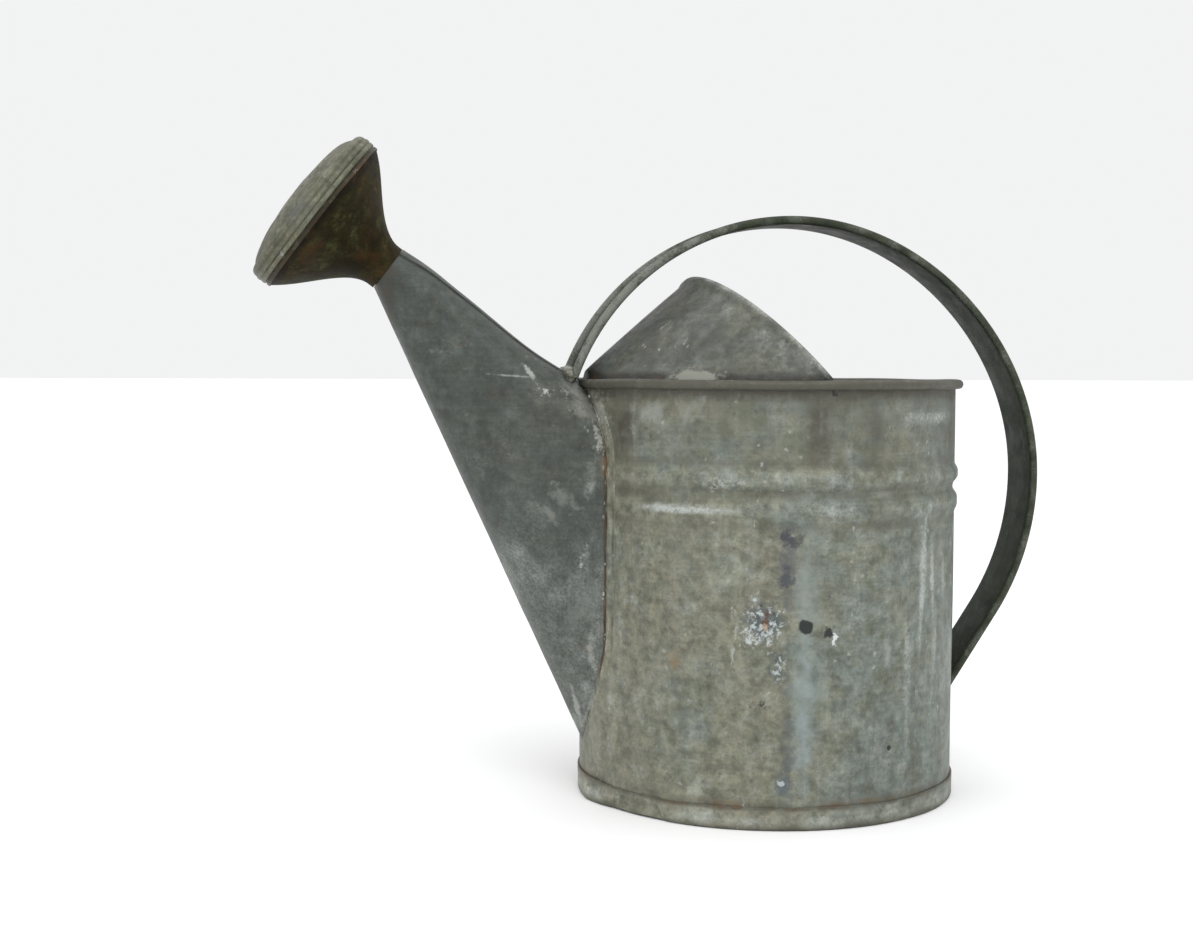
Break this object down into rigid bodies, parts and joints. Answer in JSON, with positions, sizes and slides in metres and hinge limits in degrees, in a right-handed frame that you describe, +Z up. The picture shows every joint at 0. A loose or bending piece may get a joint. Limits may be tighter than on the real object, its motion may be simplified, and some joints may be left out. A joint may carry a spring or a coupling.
{
  "type": "watering can",
  "caption": "Old galvanised round watering can with a half hood, a tapered spout soldered to the tank, a pull-off rose and a riveted strap handle with wired edges.",
  "frame": {"origin": "centre of the round foot, on the surface that the can stands on", "axes": "+Z up along the tank's axis, spout towards -X, lower end of the handle towards +X, mirror plane at Y = 0"},
  "size_m": [0.4763, 0.235, 0.3893],
  "materials": {
    "galvanised_tank": "weathered zinc, dull and mottled",
    "galvanised_foot": "weathered zinc with rust along its edge",
    "galvanised_spout": "weathered zinc, blue grey",
    "galvanised_hood": "weathered zinc, dull and mottled",
    "rusted_rose": "dark brown rusted sheet steel",
    "rose_cap": "greenish grey tarnished sheet steel",
    "dark_handle": "dark olive grey, smooth from use",
    "steel_wire": "plain drawn wire",
    "rivet_steel": "dull zinc",
    "solder": "rough pale solder"
  },
  "bodies": {
    "can": {"tank_wall": "galvanised_tank", "rim_wire": "steel_wire", "foot_hoop": "galvanised_foot", "base_plate": "galvanised_tank", "spout": "galvanised_spout", "spout_solder": "solder", "spout_nozzle": "galvanised_spout", "hood": "galvanised_hood", "handle_strap": "dark_handle", "handle_wire_near": "steel_wire", "handle_wire_far": "steel_wire", "rear_rivets": "rivet_steel", "front_solder": "solder"},
    "rose": {"rose_socket": "rusted_rose", "rose_cone": "rusted_rose", "rose_rim": "rose_cap", "rose_face": "rose_cap"}
  },
  "joints": [
    {"name": "rose_pull", "type": "slide", "parent": "can", "child": "rose", "axis": [-0.788, 0, 0.6157], "range_m": [0, 0.06]}
  ]
}
